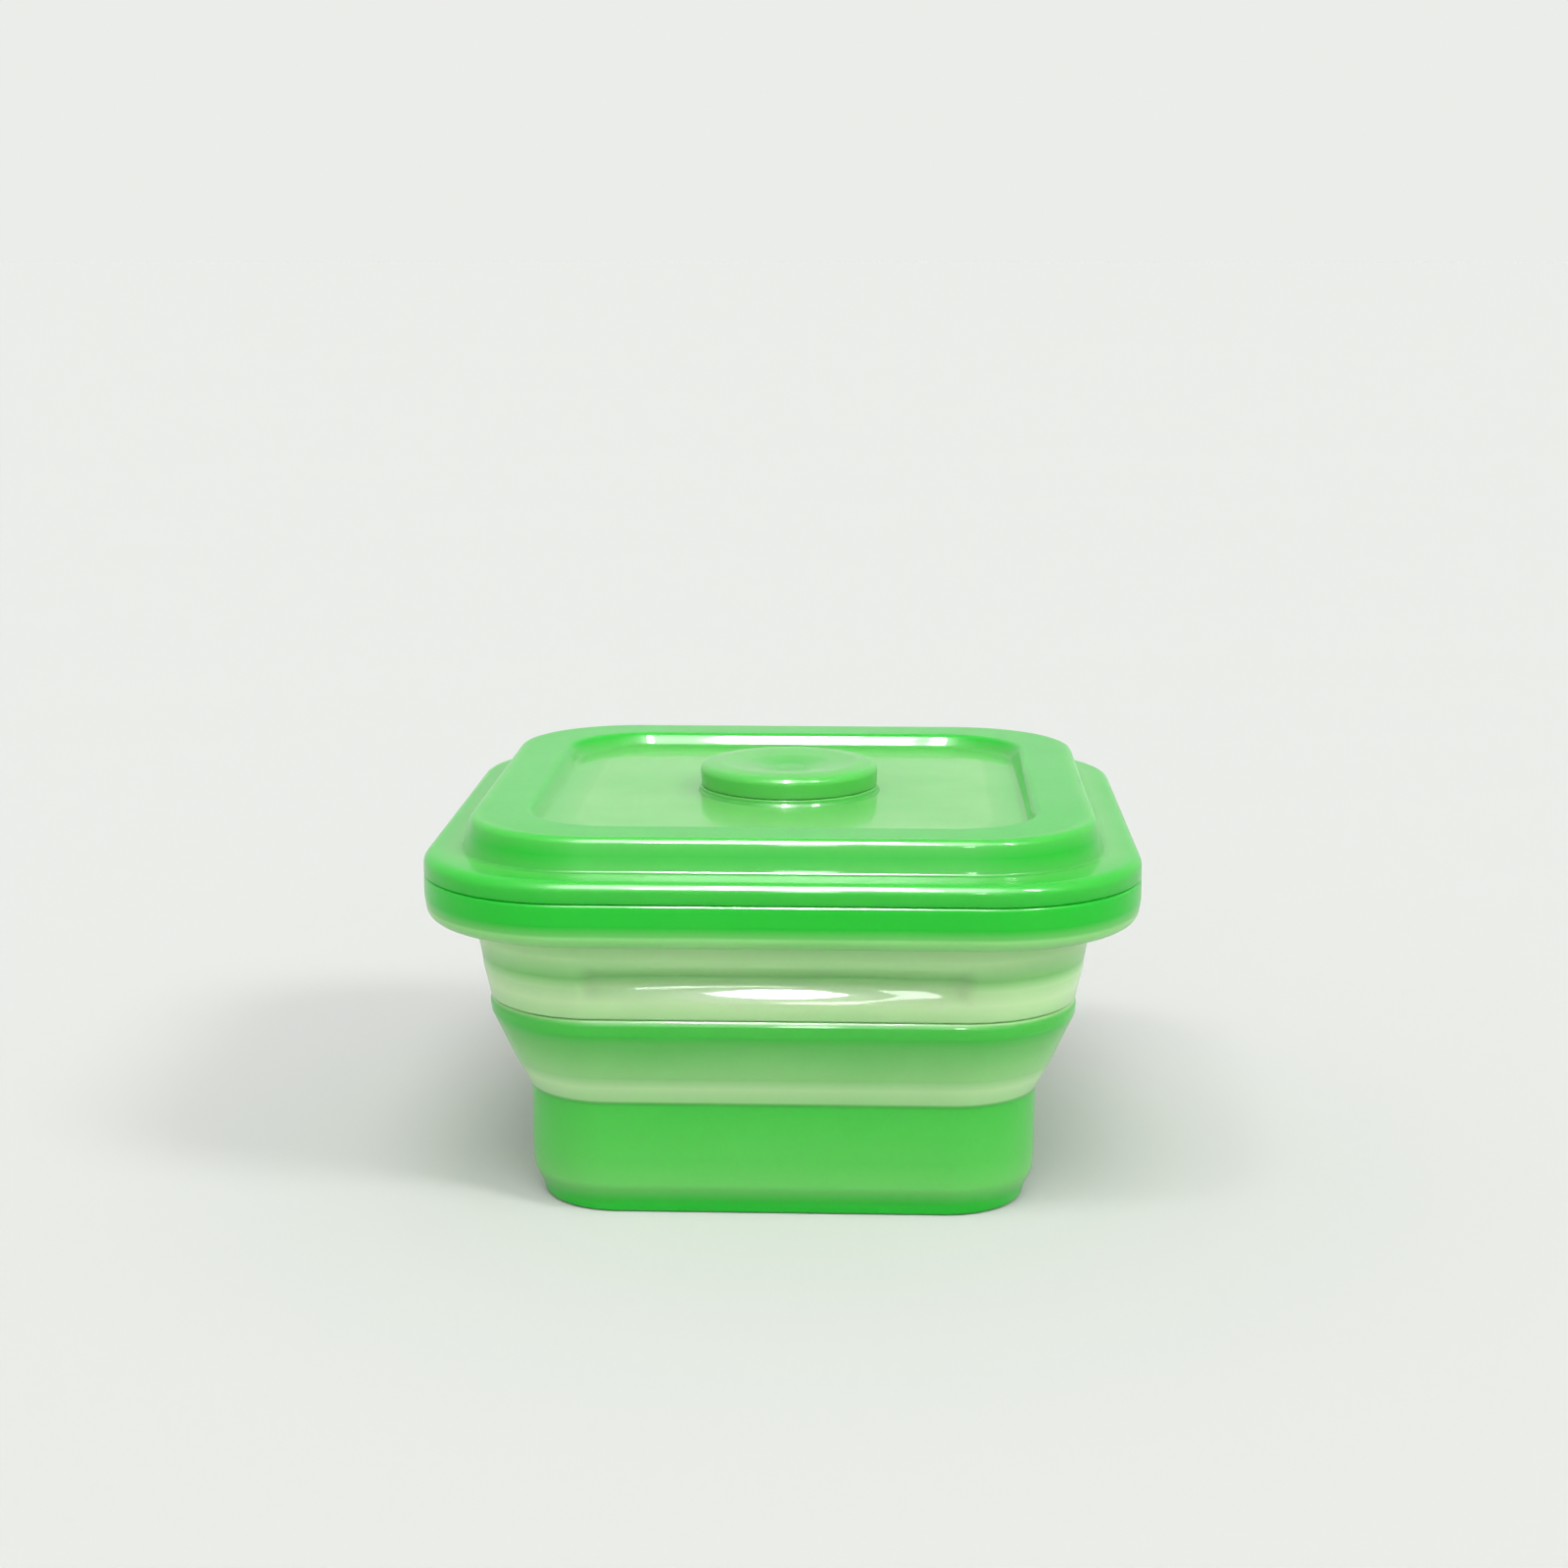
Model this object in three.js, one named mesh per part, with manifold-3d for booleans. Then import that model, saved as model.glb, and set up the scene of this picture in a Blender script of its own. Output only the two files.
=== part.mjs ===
// Collapsible silicone food box: a square folding bowl, a press-on lid and a pull-up vent plug.
// Millimetres, +Z up, origin at the middle of the base's underside.
//
// The bowl is one moulding on the real object. Its stiff zones slide past each other when it folds
// flat and its two thin fold walls turn inside out, so each zone is a piece of its own here:
// base_cup, lower_fold, fold_ring, upper_fold and rim, from the table up.
import * as THREE from "three";
import { mergeVertices } from "three/addons/utils/BufferGeometryUtils.js";
import Module from "manifold-3d";

// ---- Driving dimensions ----
// A "half" is half the width across the flats of a rounded square, at the middle of a side.
const RIM_HALF = 65; // outside of the rim and of the lid's flange
const RIM_CORNER = 28.3; // their corner radius, seen from above
const CORNER_TAPER = 0.67; // how fast the corner radius shrinks as the box gets narrower
const CORNER_STEPS = 8; // flats on each rounded corner
const MATING_GAP = 0.3; // between pieces that touch

const CUP_TOP = 22.4; // where the lower fold starts
const RING_BOTTOM = 34.3; // where the lower fold ends
const RING_TOP = 39.2; // where the upper fold starts
const RIM_BOTTOM = 46.6; // where the upper fold ends
const RIM_TOP = 62.8; // the face that the lid sits on
const FLANGE_TOP = 66.9;
const LID_TOP = 73;
const PANEL_TOP = 69; // sunken middle of the lid
const PANEL_UNDER = 67.4;
const SKIRT_BOTTOM = 56.5; // the lid's plug-in skirt

const CUP_HALF = 46.8;
const CUP_LIP_HALF = 47.2; // where the lower fold leaves the cup
const CUP_WALL = 2.2;
const FLOOR_TOP = 2.6;
const RING_BOTTOM_HALF = 52.6;
const FOLD_WALL = 0.9;
const RING_HALF = 53.7; // slides inside the neck when the box folds
const NECK_HALF = 55.2; // outside of the narrow end of the upper wall
const UPPER_WALL_HALF = 56.1;
const UPPER_WALL = 1.4;
const RIM_INNER_HALF = 55.2; // mouth of the bowl
const SKIRT_HALF = 54.8;
const SKIRT_WALL = 3.4;
const PLATEAU_HALF = 59; // foot of the lid's raised border
const PANEL_HALF = 46;

const KNOB_RADIUS = 17.25;
const KNOB_TOP = 76.2;
const BOSS_TOP = 71.4; // round seat on the lid under the knob
const SEAT_RADIUS = 11; // sunken middle of that seat
const SEAT_FLOOR = 69.8;
const VENT_RADIUS = 4.2;
const STEM_RADIUS = 3.4;
const BARB_RADIUS = 6.2;
const BARB_TOP = 63; // the plug's pull ends where this meets the lid
const BARB_BOTTOM = 59.6;
const LATHE_STEPS = 40;

const COLOURS = {
  thick: new THREE.Color(0.12, 0.62, 0.14),
  thin: new THREE.Color(0.34, 0.64, 0.3),
};
const ROUGHNESS = 0.32;

// ---- Helpers ----
const wasm = await Module();
wasm.setup();

// Points of a profile whose corners are [x, z] or [x, z, radius]; a corner with a radius is rounded.
function roundedProfile(corners, closed) {
  const at = corners.map(([x, z]) => new THREE.Vector2(x, z));
  const count = at.length;
  const points = [];
  corners.forEach(([, , radius = 0], i) => {
    const atEnd = !closed && (i === 0 || i === count - 1);
    if (!radius || atEnd) {
      points.push(at[i]);
      return;
    }
    const towards = (j) => at[(j + count) % count].clone().sub(at[i]).normalize();
    const before = towards(i - 1);
    const after = towards(i + 1);
    const cut = radius / Math.tan(before.angleTo(after) / 2);
    const bend = new THREE.QuadraticBezierCurve(
      at[i].clone().addScaledVector(before, cut),
      at[i],
      at[i].clone().addScaledVector(after, cut),
    );
    points.push(...bend.getPoints(radius > 2 ? 4 : 2));
  });
  return points;
}

// One turn round a rounded square of that half width, anticlockwise from +X.
function squareTurn(half) {
  const corner = RIM_CORNER - CORNER_TAPER * (RIM_HALF - half);
  const flat = half - corner;
  const turn = [];
  for (let quarter = 0; quarter < 4; quarter++) {
    const middle = (quarter + 0.5) * (Math.PI / 2);
    const centreX = Math.sign(Math.cos(middle)) * flat;
    const centreY = Math.sign(Math.sin(middle)) * flat;
    for (let step = 0; step <= CORNER_STEPS; step++) {
      const angle = (quarter + step / CORNER_STEPS) * (Math.PI / 2);
      turn.push([centreX + corner * Math.cos(angle), centreY + corner * Math.sin(angle)]);
    }
  }
  return turn;
}

// Sweeps a profile of (half width, z) points round the rounded square. The profile either closes on
// itself, which gives a ring, or starts and ends on the axis, which gives a bowl or a lid.
function squareSweep(profile) {
  const onAxis = profile[0].x === 0;
  const vertices = [];
  const rows = profile.map(({ x: half, y: z }) => {
    const first = vertices.length / 3;
    const turn = half === 0 ? [[0, 0]] : squareTurn(half);
    turn.forEach(([x, y]) => vertices.push(x, y, z));
    return turn.map((_, i) => first + i);
  });
  const triangles = [];
  const bands = onAxis ? rows.length - 1 : rows.length;
  for (let band = 0; band < bands; band++) {
    const low = rows[band];
    const high = rows[(band + 1) % rows.length];
    const around = Math.max(low.length, high.length);
    for (let i = 0; i < around; i++) {
      const [a, b] = [low[i % low.length], low[(i + 1) % low.length]];
      const [c, d] = [high[i % high.length], high[(i + 1) % high.length]];
      if (a !== b) triangles.push(a, b, d);
      if (c !== d) triangles.push(a, d, c);
    }
  }
  const geometry = new THREE.BufferGeometry();
  geometry.setAttribute("position", new THREE.Float32BufferAttribute(vertices, 3));
  geometry.setIndex(triangles);
  return geometry;
}

// A solid of revolution about +Z from a profile of [radius, z, rounding] corners, bottom first.
function turned(corners) {
  const profile = roundedProfile(corners, false);
  const geometry = new THREE.LatheGeometry(profile, LATHE_STEPS);
  return geometry.rotateX(Math.PI / 2);
}

function toSolid(geometry) {
  const bare = geometry.clone();
  bare.deleteAttribute("normal");
  bare.deleteAttribute("uv");
  const merged = mergeVertices(bare, 1e-3);
  const vertProperties = new Float32Array(merged.attributes.position.array);
  const triVerts = new Uint32Array(merged.index.array);
  return new wasm.Manifold(new wasm.Mesh({ numProp: 3, vertProperties, triVerts }));
}

function toGeometry(solid) {
  const { vertProperties, triVerts } = solid.getMesh();
  const geometry = new THREE.BufferGeometry();
  geometry.setAttribute("position", new THREE.BufferAttribute(vertProperties, 3));
  geometry.setIndex(new THREE.BufferAttribute(triVerts, 1));
  return geometry;
}

const group = new THREE.Group();

function addPart(name, geometry, colour) {
  const shaded = geometry.index ? geometry.toNonIndexed() : geometry;
  shaded.computeVertexNormals();
  const material = new THREE.MeshStandardMaterial({ color: colour, roughness: ROUGHNESS, metalness: 0 });
  const mesh = new THREE.Mesh(shaded, material);
  mesh.name = name;
  group.add(mesh);
}

// ---- Bowl ----
// The thick cup that stands on the table, with a shallow recess inside a flat foot ring.
function baseCup() {
  const footOuter = CUP_HALF - 3.6;
  const footInner = footOuter - 7;
  const footRecess = 0.8;
  const inner = CUP_HALF - CUP_WALL;
  const profile = roundedProfile(
    [
      [0, footRecess],
      [footInner - 1, footRecess],
      [footInner, 0],
      [footOuter, 0],
      [CUP_HALF - 0.3, 5.6, 3.6],
      [CUP_HALF, CUP_TOP - 1],
      [CUP_LIP_HALF, CUP_TOP],
      [CUP_LIP_HALF - FOLD_WALL, CUP_TOP],
      [inner, CUP_TOP - 3],
      [inner - 1, FLOOR_TOP, 3.4],
      [0, FLOOR_TOP],
    ],
    false,
  );
  return squareSweep(profile);
}

// Thin slanting wall between the cup and the ring; it turns inside out when the box folds.
function lowerFold() {
  return foldWall([
    [CUP_LIP_HALF, CUP_TOP],
    [CUP_LIP_HALF + 1.5, CUP_TOP + 2.4],
    [RING_BOTTOM_HALF, RING_BOTTOM],
  ]);
}

// Thin wall between the ring and the rim, a little bulged, which also turns inside out.
function upperFold() {
  return foldWall([
    [RING_HALF, RING_TOP],
    [RING_HALF + 0.5, RING_TOP + 2.4],
    [NECK_HALF - 0.3, RIM_BOTTOM - 1.6],
    [NECK_HALF, RIM_BOTTOM],
  ]);
}

// Closes a thin wall of even thickness behind its outer outline.
function foldWall(outer) {
  const inner = outer.map(([half, z]) => [half - FOLD_WALL, z]).reverse();
  return squareSweep(roundedProfile([...outer, ...inner], true));
}

// Thick rib between the two folds, with a shoulder that overhangs the lower fold.
function foldRing() {
  const inner = RING_HALF - 3.6;
  const profile = roundedProfile(
    [
      [RING_BOTTOM_HALF, RING_BOTTOM],
      [RING_HALF - 0.1, RING_BOTTOM + 2.3, 1.4],
      [RING_HALF, RING_TOP],
      [RING_HALF - FOLD_WALL, RING_TOP],
      [inner, RING_TOP - 1, 0.7],
      [inner - 0.2, RING_BOTTOM + 1.4, 0.7],
      [RING_BOTTOM_HALF - FOLD_WALL, RING_BOTTOM],
    ],
    true,
  );
  return squareSweep(profile);
}

// Upper wall and thick round-bottomed rim bead, which ends in the flat face under the lid.
function rim() {
  const beadUnder = RIM_TOP - 8.3;
  const innerHalf = UPPER_WALL_HALF - UPPER_WALL;
  const flareZ = RIM_BOTTOM + 4.4;
  const profile = roundedProfile(
    [
      [NECK_HALF, RIM_BOTTOM],
      [UPPER_WALL_HALF - 0.1, flareZ, 0.9],
      [UPPER_WALL_HALF, beadUnder, 1.4],
      [UPPER_WALL_HALF + 3, beadUnder],
      [RIM_HALF - 0.3, beadUnder + 0.3, 4.4],
      [RIM_HALF, RIM_TOP, 0.9],
      [RIM_INNER_HALF, RIM_TOP, 0.8],
      [RIM_INNER_HALF, beadUnder + 0.6],
      [innerHalf, beadUnder - 1.2],
      [innerHalf, flareZ, 0.9],
      [NECK_HALF - FOLD_WALL, RIM_BOTTOM],
    ],
    true,
  );
  return squareSweep(profile);
}

// ---- Lid ----
// Flange, raised border, sunken panel and plug-in skirt, with a round seat for the vent plug.
function lid() {
  const flangeUnder = RIM_TOP + MATING_GAP;
  const skirtInner = SKIRT_HALF - SKIRT_WALL;
  const skin = roundedProfile(
    [
      [0, PANEL_UNDER],
      [skirtInner - 2, PANEL_UNDER],
      [skirtInner - 0.3, PANEL_UNDER - 1.4, 0.8],
      [skirtInner, SKIRT_BOTTOM, 0.6],
      [SKIRT_HALF - 0.4, SKIRT_BOTTOM, 1],
      [SKIRT_HALF, flangeUnder],
      [RIM_HALF, flangeUnder, 0.8],
      [RIM_HALF - 0.1, FLANGE_TOP, 1.5],
      [PLATEAU_HALF, FLANGE_TOP, 1.2],
      [PLATEAU_HALF - 2.7, LID_TOP, 2],
      [PANEL_HALF + 1, LID_TOP, 0.9],
      [PANEL_HALF - 0.2, PANEL_TOP, 1.2],
      [0, PANEL_TOP],
    ],
    false,
  );
  const seat = turned([
    [0, PANEL_UNDER + 0.4],
    [KNOB_RADIUS, PANEL_UNDER + 0.4],
    [KNOB_RADIUS, BOSS_TOP, 0.4],
    [SEAT_RADIUS, BOSS_TOP, 0.3],
    [SEAT_RADIUS, SEAT_FLOOR],
    [0, SEAT_FLOOR],
  ]);
  const vent = turned([
    [0, PANEL_UNDER - 1],
    [VENT_RADIUS, PANEL_UNDER - 1],
    [VENT_RADIUS, SEAT_FLOOR + 1],
    [0, SEAT_FLOOR + 1],
  ]);
  const sheet = toSolid(squareSweep(skin));
  return toGeometry(sheet.add(toSolid(seat)).subtract(toSolid(vent)));
}

// Dished round knob that closes the vent, with a stem through the lid and a barb that keeps it on.
function ventPlug() {
  const dimpleRadius = 6;
  const dimpleDepth = 1.3;
  return turned([
    [0, BARB_BOTTOM],
    [STEM_RADIUS - 1, BARB_BOTTOM],
    [BARB_RADIUS, BARB_TOP - 0.8],
    [BARB_RADIUS, BARB_TOP],
    [STEM_RADIUS, BARB_TOP],
    [STEM_RADIUS, SEAT_FLOOR + MATING_GAP],
    [SEAT_RADIUS - 0.4, SEAT_FLOOR + MATING_GAP],
    [SEAT_RADIUS - 0.4, BOSS_TOP + MATING_GAP],
    [KNOB_RADIUS - 0.2, BOSS_TOP + MATING_GAP, 0.4],
    [KNOB_RADIUS, KNOB_TOP - 0.5, 1.3],
    [KNOB_RADIUS - 4, KNOB_TOP, 2.2],
    [dimpleRadius + 2, KNOB_TOP - 0.5],
    [dimpleRadius * 0.5, KNOB_TOP - dimpleDepth],
    [0, KNOB_TOP - dimpleDepth],
  ]);
}

addPart("base_cup", baseCup(), COLOURS.thick);
addPart("lower_fold", lowerFold(), COLOURS.thin);
addPart("fold_ring", foldRing(), COLOURS.thick);
addPart("upper_fold", upperFold(), COLOURS.thin);
addPart("rim", rim(), COLOURS.thick);
addPart("lid", lid(), COLOURS.thick);
addPart("vent_plug", ventPlug(), COLOURS.thin);

export default group;
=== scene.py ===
"""A square folding food box in translucent green silicone, with its lid and vent plug.

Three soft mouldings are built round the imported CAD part: the bowl, the lid and the vent plug. The bowl is
two skins that meet in the crease above its thick rib, because it folds in two places.
"""

import math

import bpy
import numpy as np
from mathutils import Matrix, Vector


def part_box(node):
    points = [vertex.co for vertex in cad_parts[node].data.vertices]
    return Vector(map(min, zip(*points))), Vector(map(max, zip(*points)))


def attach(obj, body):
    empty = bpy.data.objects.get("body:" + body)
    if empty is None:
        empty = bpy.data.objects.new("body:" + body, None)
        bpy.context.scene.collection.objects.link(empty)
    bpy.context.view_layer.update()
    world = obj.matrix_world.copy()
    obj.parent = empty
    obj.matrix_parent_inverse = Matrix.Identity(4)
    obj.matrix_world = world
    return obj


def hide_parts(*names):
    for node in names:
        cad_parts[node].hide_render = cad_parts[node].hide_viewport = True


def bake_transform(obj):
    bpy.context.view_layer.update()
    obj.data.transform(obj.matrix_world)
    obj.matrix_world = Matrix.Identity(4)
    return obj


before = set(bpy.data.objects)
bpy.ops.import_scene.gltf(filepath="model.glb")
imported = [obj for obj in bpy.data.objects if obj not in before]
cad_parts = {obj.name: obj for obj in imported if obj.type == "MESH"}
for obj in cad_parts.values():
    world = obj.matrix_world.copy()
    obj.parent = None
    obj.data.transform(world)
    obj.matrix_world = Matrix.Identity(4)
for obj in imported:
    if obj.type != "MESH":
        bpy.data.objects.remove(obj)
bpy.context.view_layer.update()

MM = 0.001

# ---- Sizes read from the frame, in millimetres ----
# A "half" is half the width across the flats of a rounded square, at the middle of a side.


def low(node, axis):
    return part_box(node)[0][axis] / MM


def high(node, axis):
    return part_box(node)[1][axis] / MM


X, Z = 0, 2
CUP_TOP = high("base_cup", Z)
RING_BOTTOM = low("fold_ring", Z)
RING_TOP = high("fold_ring", Z)
NECK_Z = low("rim", Z)
RIM_TOP = high("rim", Z)
SKIRT_BOTTOM = low("lid", Z)
LID_TOP = high("lid", Z)
KNOB_TOP = high("vent_plug", Z)
BARB_BOTTOM = low("vent_plug", Z)
CUP_HALF = high("base_cup", X)
RING_HALF = high("fold_ring", X)
NECK_HALF = high("upper_fold", X)
RIM_HALF = high("rim", X)
KNOB_RADIUS = high("vent_plug", X)

# ---- Shape of the square sweep ----
RIM_CORNER = 28.3  # corner radius of the rim and the lid's flange, seen from above
CORNER_TAPER = 0.67  # how fast the corner radius shrinks as the box gets narrower
CORNER_SHARE = 0.3  # least corner radius, as a share of the half
ARC_STEPS = 22
FLAT_STEPS = 18
PROFILE_STEP = 1.1  # longest step along a profile
FILLET_TURN = math.radians(9)  # largest turn between two steps of a fillet
STRAIGHT_TURN = 0.02  # a smaller turn than this, in radians, needs no fillet
FILLET_REACH = 0.49  # most of a stretch that the fillet at one of its ends may take
ROUND_STEPS = 96
ON_AXIS = 1e-6  # a half or a radius under this is a single point on the axis


def fillet_points(before, corner, after, radius):
    """Points of the round corner between two straight stretches of a profile, all with the corner's tint."""
    p, a, b = (np.array(v[:2], float) for v in (corner, before, after))
    tint = corner[2]
    to_a, to_b = a - p, b - p
    len_a, len_b = np.linalg.norm(to_a), np.linalg.norm(to_b)
    to_a, to_b = to_a / len_a, to_b / len_b
    opening = math.acos(np.clip(to_a @ to_b, -1, 1))
    turn = math.pi - opening
    if radius == 0 or turn < STRAIGHT_TURN:
        return [(p[0], p[1], tint)]
    cut = min(radius / math.tan(opening / 2), FILLET_REACH * len_a, FILLET_REACH * len_b)
    radius = cut * math.tan(opening / 2)
    middle = to_a + to_b
    centre = p + middle / np.linalg.norm(middle) * radius / math.sin(opening / 2)
    first, last = p + to_a * cut - centre, p + to_b * cut - centre
    sense = math.copysign(1, first[0] * last[1] - first[1] * last[0])
    steps = max(2, math.ceil(turn / FILLET_TURN))
    points = []
    for i in range(steps + 1):
        angle = sense * turn * i / steps
        c, s = math.cos(angle), math.sin(angle)
        spot = centre + (c * first[0] - s * first[1], s * first[0] + c * first[1])
        points.append((spot[0], spot[1], tint))
    return points


def smooth_profile(corners, closed):
    """A dense profile from corners (half, z, tint, fillet radius).
    Tints blend along its straight stretches."""
    count = len(corners)
    rounded = []
    for i, corner in enumerate(corners):
        if not closed and i in (0, count - 1):
            rounded.append(tuple(corner[:3]))
        else:
            rounded += fillet_points(corners[i - 1], corner, corners[(i + 1) % count], corner[3])
    dense = []
    following = rounded[1:] + rounded[:1] if closed else rounded[1:]
    for a, b in zip(map(np.array, rounded), map(np.array, following)):
        steps = max(1, math.ceil(np.linalg.norm((b - a)[:2]) / PROFILE_STEP))
        dense += [a + (b - a) * k / steps for k in range(steps)]
    if not closed:
        dense.append(np.array(rounded[-1]))
    return np.array(dense)


def square_turn(half):
    """One turn round a rounded square, and how near each point is to the middle of its side, 0 to 1.
    The points of the round corners count as 0, so the value drops where a flat ends."""
    corner = max(RIM_CORNER - CORNER_TAPER * (RIM_HALF - half), CORNER_SHARE * half)
    flat = half - corner
    side = []
    for k in range(FLAT_STEPS + 1):
        y = flat * (2 * k / FLAT_STEPS - 1)
        side.append((half, y, 1 - (y / half) ** 2))
    for k in range(1, ARC_STEPS):
        angle = math.pi / 2 * k / ARC_STEPS
        side.append((flat + corner * math.cos(angle), flat + corner * math.sin(angle), 0.0))
    points, middles = [], []
    for quarter in range(4):
        c, s = math.cos(quarter * math.pi / 2), math.sin(quarter * math.pi / 2)
        for x, y, middle in side:
            points.append((c * x - s * y, s * x + c * y))
            middles.append(middle)
    return np.array(points), np.array(middles)


def skin(rows, closed):
    """Faces between neighbouring rows of points. A row of one point is a pole on the axis."""
    faces = []
    following = rows[1:] + rows[:1] if closed else rows[1:]
    for a, b in zip(rows, following):
        around = max(len(a), len(b))
        for k in range(around):
            n = (k + 1) % around
            loop = [a[k % len(a)], a[n % len(a)], b[n % len(b)], b[k % len(b)]]
            faces.append(list(dict.fromkeys(loop)))
    return faces


def new_piece(name, points, faces, tints):
    mesh = bpy.data.meshes.new(name)
    mesh.from_pydata([tuple(p) for p in points], [], faces)
    mesh.update()
    layer = mesh.attributes.new("depth", "FLOAT", "POINT")
    layer.data.foreach_set("value", np.asarray(tints, dtype=np.float32))
    for polygon in mesh.polygons:
        polygon.use_smooth = True
    piece = bpy.data.objects.new(name, mesh)
    bpy.context.scene.collection.objects.link(piece)
    return piece


def square_sweep(name, corners, closed, bow=None):
    """Sweeps a profile round the rounded square. An open profile starts and ends on the axis.
    bow(z) says how far the middle of each side sinks in, in millimetres."""
    points, tints, rows = [], [], []
    for half, z, tint in smooth_profile(corners, closed):
        first = len(points)
        if half < ON_AXIS:
            points.append((0, 0, z * MM))
        else:
            turn, middles = square_turn(half)
            sink = (bow(z) if bow else 0) * middles
            points += [(x * k * MM, y * k * MM, z * MM) for (x, y), k in zip(turn, 1 - sink / half)]
        rows.append(list(range(first, len(points))))
        tints += [tint] * len(rows[-1])
    return new_piece(name, points, skin(rows, closed), tints)


def round_sweep(name, corners):
    """Turns an open profile of (radius, z, tint, fillet radius) about the axis."""
    points, tints, rows = [], [], []
    for radius, z, tint in smooth_profile(corners, closed=False):
        first = len(points)
        for k in range(1 if radius < ON_AXIS else ROUND_STEPS):
            angle = 2 * math.pi * k / ROUND_STEPS
            points.append((radius * math.cos(angle) * MM, radius * math.sin(angle) * MM, z * MM))
        rows.append(list(range(first, len(points))))
        tints += [tint] * len(rows[-1])
    return new_piece(name, points, skin(rows, closed=False), tints)


# ---- Silicone ----
THIN = (0.52, 0.80, 0.40)
MEDIUM = (0.115, 0.46, 0.095)
THICK = (0.003, 0.42, 0.015)
# the lid's copy of the silicone is darker: painted shade against the stronger light on the lid's top
LID_PAINTED_SHADE = 0.9
SURFACE = {
    "IOR": 1.41,
    "Transmission Weight": 0.12,
    "Subsurface Weight": 0.75,
    "Subsurface Radius": (0.6, 1.0, 0.6),
    "Subsurface Scale": 0.004,
    "Specular IOR Level": 0.25,
    "Coat Weight": 0.4,
    "Coat Roughness": 0.04,
    "Coat IOR": 1.45,
}
CLOUD_SCALE = 38  # slow changes of tint and gloss, a few centimetres across
CLOUD_DETAIL = 3
CLOUD_TINT = 0.14  # how much of the depth scale they cover
ROUGHNESS = (0.29, 0.42)
GRAIN_SCALE = 900  # the mould's fine grain
GRAIN_DETAIL = 4
GRAIN_STRENGTH = 0.12
GRAIN_DEPTH = 0.00015


def tint_from_depth(nodes, links, cloud, tints):
    """The moulding's depth, with some painted shade and painted highlights in it, made a little uneven,
    looked up on a scale from thin to thick.
    """
    depth = nodes.new("ShaderNodeAttribute")
    depth.attribute_name = "depth"
    cloudy = nodes.new("ShaderNodeMath")
    cloudy.operation = "MULTIPLY_ADD"
    cloudy.inputs[1].default_value = CLOUD_TINT
    cloudy.inputs[2].default_value = -CLOUD_TINT / 2
    links.new(cloud.outputs["Fac"], cloudy.inputs[0])
    total = nodes.new("ShaderNodeMath")
    total.operation = "ADD"
    links.new(depth.outputs["Fac"], total.inputs[0])
    links.new(cloudy.outputs[0], total.inputs[1])
    scale = nodes.new("ShaderNodeValToRGB")
    thin, medium, thick = tints
    scale.color_ramp.elements[0].color = thin
    scale.color_ramp.elements[1].color = thick
    scale.color_ramp.elements.new(0.5).color = medium
    links.new(total.outputs[0], scale.inputs["Fac"])
    return scale.outputs["Color"]


def uneven_gloss(nodes, links, cloud):
    smudge = nodes.new("ShaderNodeMapRange")
    smudge.inputs["To Min"].default_value, smudge.inputs["To Max"].default_value = ROUGHNESS
    links.new(cloud.outputs["Fac"], smudge.inputs["Value"])
    return smudge.outputs["Result"]


def fine_grain(nodes, links, place):
    grain = nodes.new("ShaderNodeTexNoise")
    grain.inputs["Scale"].default_value = GRAIN_SCALE
    grain.inputs["Detail"].default_value = GRAIN_DETAIL
    links.new(place, grain.inputs["Vector"])
    bump = nodes.new("ShaderNodeBump")
    bump.inputs["Strength"].default_value = GRAIN_STRENGTH
    bump.inputs["Distance"].default_value = GRAIN_DEPTH
    links.new(grain.outputs["Fac"], bump.inputs["Height"])
    return bump.outputs["Normal"]


def silicone(name, seed, shade=1.0):
    """Translucent silicone: pale where it is thin, deep green where it is thick. shade darkens all of it, as
    painted shade.
    """
    material = bpy.data.materials.new(name)
    material.use_nodes = True
    nodes, links = material.node_tree.nodes, material.node_tree.links
    shader = nodes["Principled BSDF"]
    for socket, value in SURFACE.items():
        shader.inputs[socket].default_value = value
    place = nodes.new("ShaderNodeTexCoord").outputs["Object"]
    cloud = nodes.new("ShaderNodeTexNoise")
    cloud.noise_dimensions = "4D"
    cloud.inputs["W"].default_value = seed
    cloud.inputs["Scale"].default_value = CLOUD_SCALE
    cloud.inputs["Detail"].default_value = CLOUD_DETAIL
    links.new(place, cloud.inputs["Vector"])
    tints = [[shade * c for c in tint] + [1] for tint in (THIN, MEDIUM, THICK)]
    links.new(tint_from_depth(nodes, links, cloud, tints), shader.inputs["Base Color"])
    links.new(uneven_gloss(nodes, links, cloud), shader.inputs["Roughness"])
    links.new(fine_grain(nodes, links, place), shader.inputs["Normal"])
    return material


# ---- Bowl ----
# A corner of a profile is (half, z, depth, fillet radius). The depth picks the tint: 0 is thin, 1 is thick.
# At a few corners it also holds painted shade and painted highlights, noted where they stand.
FLOOR_TOP = 2.6
FOOT_RECESS = 0.8
CUP_WALL = 3.2
RIB_WALL = 3.8
FOLD_WALL = 0.9
UPPER_WALL = 1.4
RIM_HEIGHT = 8.3
RIM_LIFT = 0.18  # the rim closes most of the gap that the CAD part leaves under the lid
LID_LIFT = 0.25  # height of the lid's underside over the top of the CAD rim
CREASE_DEPTH = 2.8  # how far the crease of the upper fold sinks in, at the middle of a side
CREASE_REACH_DOWN = 5.2
CREASE_REACH_UP = 3.6


def upper_bow(z):
    """The upper fold is soft, so its crease sinks in along the sides and not at the corners."""
    reach = (z - NECK_Z) / (CREASE_REACH_UP if z > NECK_Z else CREASE_REACH_DOWN)
    return CREASE_DEPTH * math.cos(math.pi / 2 * reach) ** 2 if abs(reach) < 1 else 0.0


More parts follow.
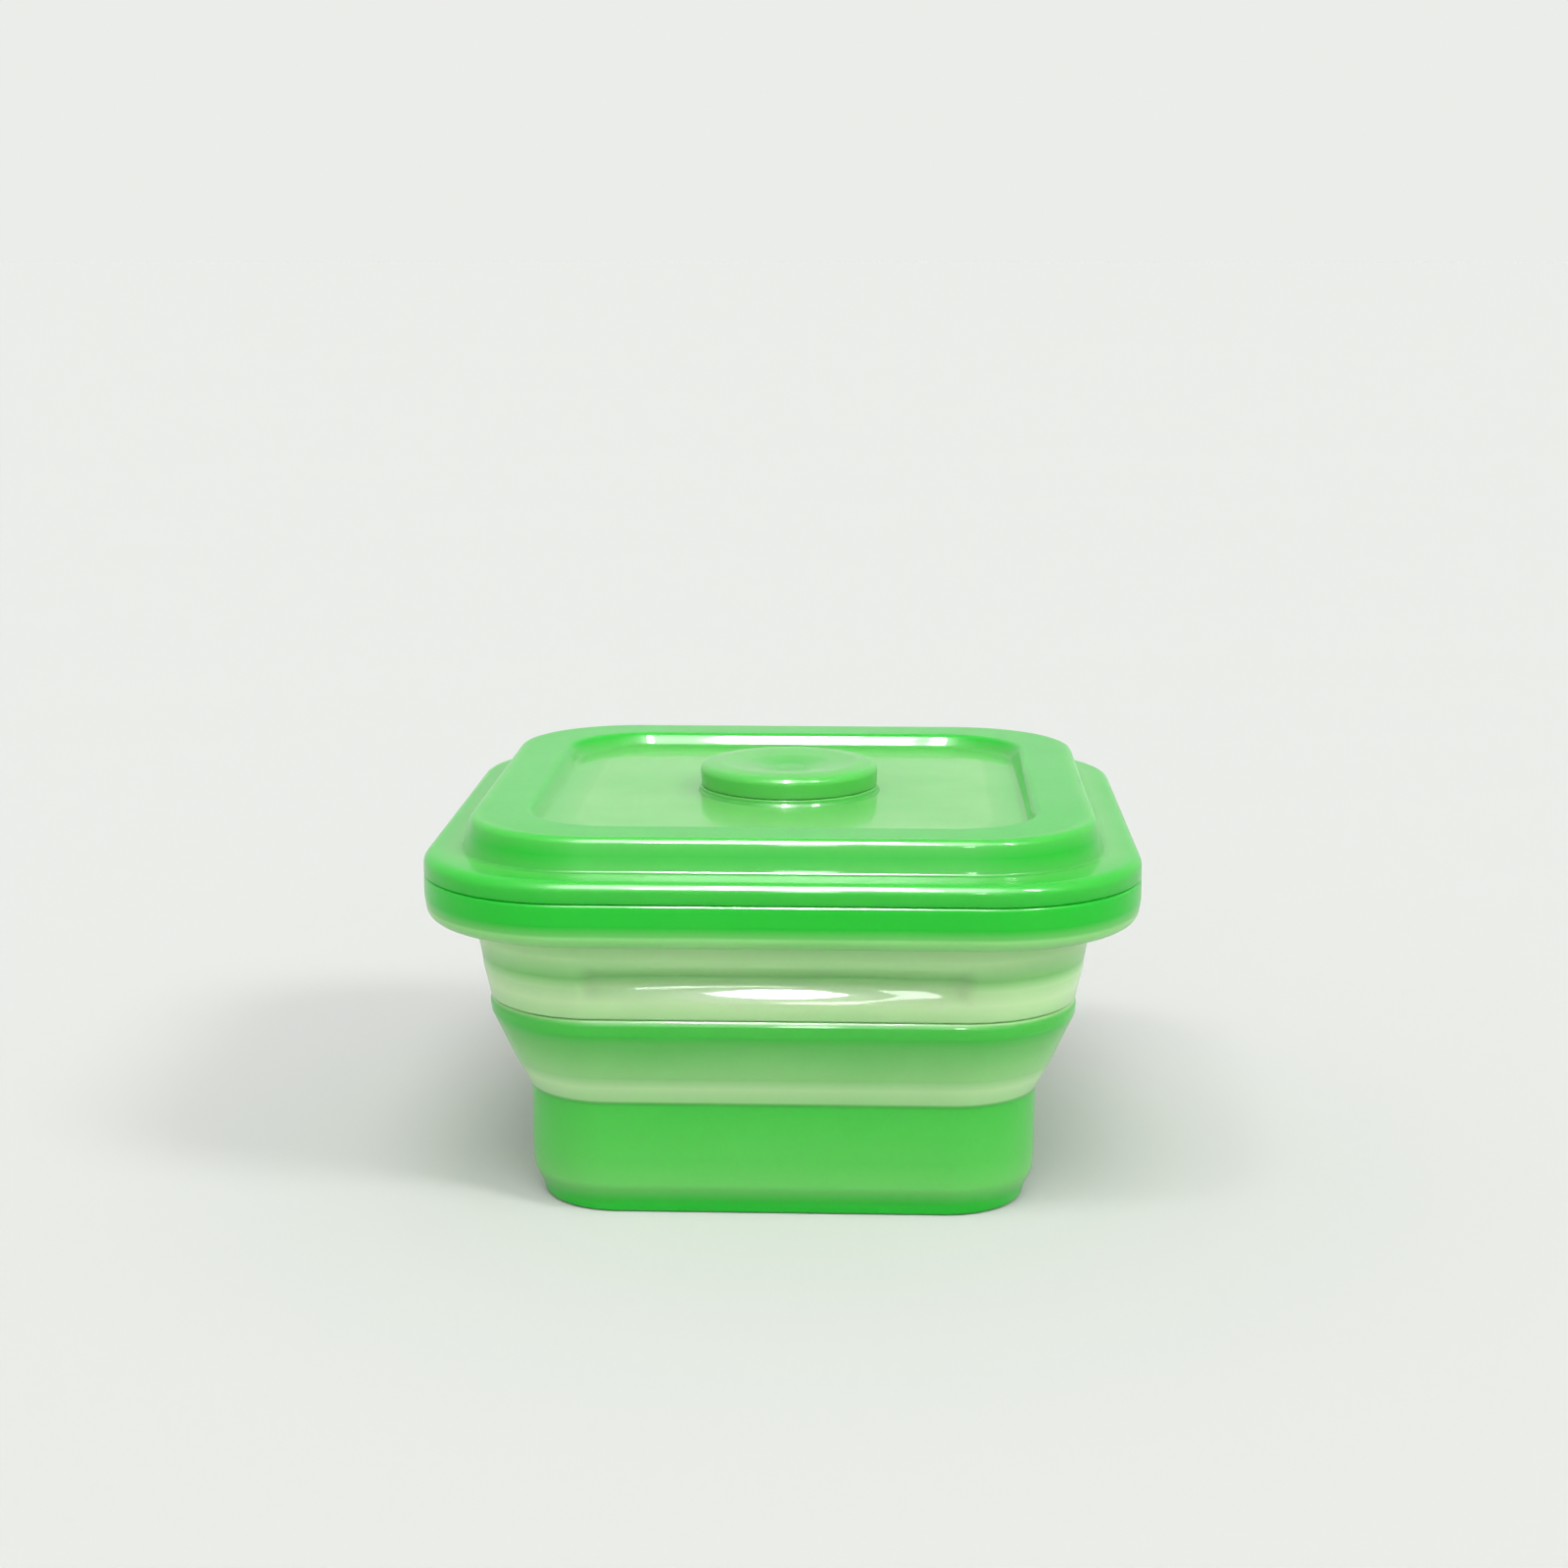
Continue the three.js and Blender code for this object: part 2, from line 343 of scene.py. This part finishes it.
def bowl_lower():
    """The cup, the lower fold and the rib."""
    cup, ring = CUP_HALF - 0.3, RING_HALF + 0.3
    web = cup + 1.9
    corners = [
        (0, FOOT_RECESS, 0.7, 0),
        (cup - 11.6, FOOT_RECESS, 0.7, 0.6),
        (cup - 10.6, 0, 0.8, 0.6),
        # The foot is tinted deepest where it meets the floor, partly for the thick moulding there and partly
        # as painted contact shade; the paler tint just above it, at 5.6 mm, is a painted highlight line.
        (cup - 2.2, 0, 1.0, 1.0),
        (cup - 1.7, 2.2, 0.95, 2.4),
        (cup - 0.2, 5.6, 0.5, 3.4),
        (cup, 11, 0.68, 20),
        (cup, CUP_TOP - 1.2, 0.82, 0.5),
        (cup + 0.5, CUP_TOP - 0.3, 0.25, 0.6),
        (web, CUP_TOP + 2.6, 0.1, 2.5),
        (web + 1.2, CUP_TOP + 5, 0.34, 8),
        (ring - 1.2, RING_BOTTOM - 0.2, 0.5, 1.4),
        (ring - 0.2, RING_BOTTOM + 2, 0.8, 2.4),
        (ring, RING_TOP - 1.1, 0.75, 0.6),
        (ring - 0.45, RING_TOP - 0.1, 0.3, 0.4),
        (ring - 3.4, RING_TOP - 0.3, 0.7, 0.7),
        (ring - RIB_WALL, RING_BOTTOM + 1.4, 0.8, 1),
        (ring - 2.2, RING_BOTTOM - 0.3, 0.6, 1),
        (web, CUP_TOP + 4.7, 0.3, 6),
        (web - FOLD_WALL, CUP_TOP + 2.8, 0.2, 2),
        (cup - 0.5, CUP_TOP, 0.2, 1.5),
        (cup - 2, CUP_TOP - 3.2, 0.7, 1.2),
        (cup - CUP_WALL, FLOOR_TOP, 0.7, 4.5),
        (0, FLOOR_TOP, 0.6, 0),
    ]
    return square_sweep("bowl_lower", corners, closed=False)


def bowl_upper():
    """The upper fold, the upper wall and the rim."""
    neck, rim = NECK_HALF, RIM_HALF
    wall = neck + 0.9
    under = RIM_TOP - RIM_HEIGHT
    rim_top = RIM_TOP + RIM_LIFT
    flare = NECK_Z + 4.4
    corners = [
        (RING_HALF - 0.45, RING_TOP - 0.1, 0.2, 0.2),
        (RING_HALF + 0.15, RING_TOP + 0.2, 0.2, 0.4),
        # These tints paint light as well as thickness: palest on the bulge under the crease, a painted
        # sheen, and deeper at the crease itself, painted shade.
        (RING_HALF + 0.8, RING_TOP + 3.4, 0.02, 3.5),
        (neck - 0.1, NECK_Z - 1.5, 0.12, 3),
        (neck + 0.1, NECK_Z + 0.6, 0.38, 2.5),
        (wall - 0.1, flare, 0.1, 2.5),
        (wall, under - 0.6, 0.14, 0.5),
        (wall + 0.5, under + 0.2, 0.45, 0.6),
        (rim - 0.6, under + 0.2, 0.36, 4.2),
        (rim, RIM_TOP - 3.6, 1.0, 3),
        (rim, rim_top, 1.0, 0.7),
        (neck + 0.2, rim_top, 0.9, 0.9),
        (neck + 0.2, under + 0.6, 0.6, 0.6),
        (wall - UPPER_WALL, under - 1.2, 0.2, 0.6),
        (wall - UPPER_WALL, flare, 0.2, 2),
        (neck + 0.1 - FOLD_WALL, NECK_Z + 0.6, 0.2, 2),
        (RING_HALF + 0.8 - FOLD_WALL, RING_TOP + 3.4, 0.1, 3),
        (RING_HALF - FOLD_WALL - 0.2, RING_TOP - 0.1, 0.2, 0.3),
    ]
    return square_sweep("bowl_upper", corners, closed=True, bow=upper_bow)


# ---- Lid and plug ----
FLANGE_HEIGHT = 4.1
LEDGE_WIDTH = 6  # the flange beside the raised border
BORDER_WIDTH = 14
PANEL_SINK = 2.6
PANEL_WALL = 3
SKIRT_WALL = 3.3
SEAT_RADIUS = 11
SEAT_DEPTH = 1.6
CAP_HEIGHT = 4.5
SPIGOT_RADIUS = 10.6  # the step under the knob that fills the seat
STEM_RADIUS = 3.4
BARB_RADIUS = 6.2
DISH_DEPTH = 1.3


def lid():
    """The lid in one piece: flange, raised border, sunken panel and the skirt that plugs into the bowl."""
    rim, under = RIM_HALF, RIM_TOP + LID_LIFT
    plateau = rim - LEDGE_WIDTH
    panel = plateau - BORDER_WIDTH
    skirt = NECK_HALF - 0.4
    panel_top = LID_TOP - PANEL_SINK
    panel_under = panel_top - PANEL_WALL
    flange_top = RIM_TOP + FLANGE_HEIGHT
    corners = [
        (0, panel_under, 0.35, 0),
        (skirt - 5.5, panel_under, 0.4, 0.8),
        (skirt - 3.6, panel_under - 1.4, 0.6, 0.8),
        (skirt - SKIRT_WALL, SKIRT_BOTTOM, 0.8, 0.8),
        (skirt - 0.4, SKIRT_BOTTOM, 0.8, 1),
        (skirt, under, 0.9, 0.3),
        (rim, under, 0.95, 0.2),
        (rim - 0.05, flange_top - 0.1, 0.9, 3.4),
        (rim - 5.2, flange_top + 0.1, 0.66, 1),
        (plateau - 0.7, flange_top + 0.1, 0.8, 0.6),
        (plateau - 1.5, flange_top + 3, 0.98, 2.2),
        (plateau - 2.3, LID_TOP, 0.8, 1.5),
        (plateau - 4.6, LID_TOP, 0.95, 0.6),
        (panel + 1.5, LID_TOP, 0.95, 1.6),
        (panel - 0.6, panel_top, 0.7, 1.6),
        (panel - 7, panel_top, 0.46, 1.2),
        (0, panel_top, 0.54, 0),
    ]
    return square_sweep("lid_skin", corners, closed=False)


def vent_plug():
    """The dished knob, the step that sits in the lid, and the stem with its barb."""
    r, top = KNOB_RADIUS, KNOB_TOP
    cap_bottom = top - CAP_HEIGHT
    spigot_bottom = cap_bottom - SEAT_DEPTH
    barb_top = BARB_BOTTOM + 3.4
    corners = [
        (0, BARB_BOTTOM, 0.6, 0),
        (2.4, BARB_BOTTOM, 0.6, 0.6),
        (BARB_RADIUS, BARB_BOTTOM + 2.6, 0.6, 0.6),
        (BARB_RADIUS, barb_top, 0.6, 0.3),
        (STEM_RADIUS, barb_top, 0.6, 0.3),
        (STEM_RADIUS, spigot_bottom, 0.6, 0.3),
        (SPIGOT_RADIUS, spigot_bottom, 0.6, 0.3),
        (SPIGOT_RADIUS, cap_bottom, 0.6, 0.2),
        (r - 0.2, cap_bottom, 0.62, 0.3),
        (r, top - 0.5, 0.66, 1.5),
        (r - 4, top, 0.6, 2.2),
        (8, top - 0.5, 0.7, 3),
        (3, top - DISH_DEPTH, 0.85, 3),
        (0, top - DISH_DEPTH, 0.88, 0),
    ]
    return round_sweep("vent_plug_skin", corners)


def boss_ring():
    """The round seat that the knob sits on, in the middle of the lid."""
    r = KNOB_RADIUS
    foot = LID_TOP - PANEL_SINK - 0.3
    top = KNOB_TOP - CAP_HEIGHT - 0.08
    corners = [
        (0, foot, 0.6, 0),
        (r + 0.6, foot, 0.7, 0.1),
        (r, foot + 0.9, 0.7, 0.6),
        (r, top, 0.6, 0.2),
        (SEAT_RADIUS, top, 0.6, 0.3),
        (SEAT_RADIUS, top - SEAT_DEPTH, 0.6, 0.2),
        (0, top - SEAT_DEPTH, 0.6, 0),
    ]
    return round_sweep("lid_boss", corners)


# ---- Stage ----
PAPER = (0.833, 0.847, 0.82)  # what the floor and the room behind it both look like
# What each kind of light adds on the floor, beside the even light of the room, which adds 1.
SUN_SHARE = 0.5  # the two lamps at the sides
SUN_RIGHT_PART = 0.65  # how much of it comes from the right
KEY_SHARE = 0.6  # the lamp above the camera
FILL_SHARE = 0.08  # the low wide light from the front
FLOOR_REACH = 60  # metres
WINDOW_DISTANCE = 2.0  # metres
WINDOW_AIM = Vector((0, 0, 0.06))  # the windows face this point inside the box


def stage():
    """A floor so wide that its far edge lies at the horizon, in the same shade as the even room."""
    corners = [(x * FLOOR_REACH, y * FLOOR_REACH, 0) for x, y in ((-1, -1), (1, -1), (1, 1), (-1, 1))]
    mesh = bpy.data.meshes.new("floor")
    mesh.from_pydata(corners, [], [(0, 1, 2, 3)])
    floor = bpy.data.objects.new("floor", mesh)
    bpy.context.scene.collection.objects.link(floor)
    material = bpy.data.materials.new("pale_paper")
    material.use_nodes = True
    shader = material.node_tree.nodes["Principled BSDF"]
    shade = 1 / (1 + SUN_SHARE + KEY_SHARE + FILL_SHARE)
    shader.inputs["Base Color"].default_value = (shade, shade, shade, 1)
    shader.inputs["Roughness"].default_value = 1
    shader.inputs["Specular IOR Level"].default_value = 0
    floor.data.materials.append(material)


def direction(azimuth, elevation):
    """Unit vector towards a light. Azimuth 0 is in front of the box and grows to its right."""
    a, e = math.radians(azimuth), math.radians(elevation)
    return Vector((math.sin(a) * math.cos(e), -math.cos(a) * math.cos(e), math.sin(e)))


def sunlight(name, azimuth, elevation, spread, share):
    """A far lamp that casts a soft shadow. share is what it adds on the floor, beside the room's 1."""
    data = bpy.data.lights.new(name, "SUN")
    data.angle = math.radians(spread)
    data.color = [c / max(PAPER) for c in PAPER]
    data.energy = share * max(PAPER) * math.pi / math.sin(math.radians(elevation))
    sun = bpy.data.objects.new(name, data)
    sun.rotation_euler = direction(azimuth, elevation).to_track_quat("Z", "Y").to_euler()
    sun.visible_glossy = False
    bpy.context.scene.collection.objects.link(sun)


def window(name, azimuth, elevation, width, height, radiance):
    """A bright pane that only shows as a highlight. Its width and height are angles, like its place."""
    data = bpy.data.lights.new(name, "AREA")
    data.shape = "RECTANGLE"
    data.size = 2 * WINDOW_DISTANCE * math.tan(math.radians(width / 2))
    data.size_y = 2 * WINDOW_DISTANCE * math.tan(math.radians(height / 2))
    data.energy = radiance * math.pi * data.size * data.size_y
    towards = direction(azimuth, elevation)
    pane = bpy.data.objects.new(name, data)
    pane.location = towards * WINDOW_DISTANCE + WINDOW_AIM
    pane.rotation_euler = towards.to_track_quat("Z", "Y").to_euler()
    pane.visible_diffuse = False
    pane.visible_transmission = False
    bpy.context.scene.collection.objects.link(pane)


def studio():
    world = bpy.data.worlds.new("studio")
    world.use_nodes = True
    world.node_tree.nodes["Background"].inputs["Color"].default_value = (*PAPER, 1)
    bpy.context.scene.world = world
    sunlight("sun_right", azimuth=58, elevation=37, spread=14, share=SUN_SHARE * SUN_RIGHT_PART)
    sunlight("sun_left", azimuth=-42, elevation=58, spread=12, share=SUN_SHARE * (1 - SUN_RIGHT_PART))
    sunlight("key_front", azimuth=4, elevation=62, spread=30, share=KEY_SHARE)
    sunlight("fill_front", azimuth=3, elevation=13, spread=50, share=FILL_SHARE)
    window("window_left", azimuth=-4.4, elevation=56, width=5.4, height=36, radiance=200)
    window("window_right", azimuth=1.6, elevation=50, width=1.8, height=22, radiance=90)
    window("pane_low_left", azimuth=-1.6, elevation=25, width=1.6, height=10, radiance=34)
    window("pane_low_right", azimuth=4.8, elevation=25, width=1.4, height=10, radiance=34)
    window("window_side", azimuth=44, elevation=48, width=7, height=20, radiance=60)


# ---- Camera, in millimetres and degrees ----
CAMERA_LENS = 60.8
CAMERA_SENSOR = 36
CAMERA_DISTANCE = 515.0
CAMERA_AZIMUTH = 2.18
CAMERA_ELEVATION = 11.32
CAMERA_AIM = (-1.0, 0.0, 71.4)


def camera():
    data = bpy.data.cameras.new("camera")
    data.lens = CAMERA_LENS
    data.sensor_width = CAMERA_SENSOR
    towards = direction(CAMERA_AZIMUTH, CAMERA_ELEVATION)
    cam = bpy.data.objects.new("camera", data)
    cam.location = (Vector(CAMERA_AIM) + towards * CAMERA_DISTANCE) * MM
    cam.rotation_euler = towards.to_track_quat("Z", "Y").to_euler()
    bpy.context.scene.collection.objects.link(cam)
    bpy.context.scene.camera = cam


def main():
    camera()
    stage()
    studio()
    bpy.context.scene.view_settings.view_transform = "Standard"

    bowl_silicone = silicone("bowl_silicone", seed=1)
    # the lid gets a darker copy of the silicone, painted shade against the stronger light on its top
    lid_silicone = silicone("lid_silicone", seed=2, shade=LID_PAINTED_SHADE)
    lower, upper = bowl_lower(), bowl_upper()
    cover, boss, plug = lid(), boss_ring(), vent_plug()
    for piece in (lower, upper):
        piece.data.materials.append(bowl_silicone)
    for piece in (cover, boss, plug):
        piece.data.materials.append(lid_silicone)

    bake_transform(lower)
    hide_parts("base_cup", "lower_fold", "fold_ring")
    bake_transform(upper)
    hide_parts("upper_fold", "rim")
    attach(cover, "lid_body")
    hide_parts("lid")
    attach(boss, "lid_body")
    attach(plug, "plug_body")
    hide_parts("vent_plug")


main()
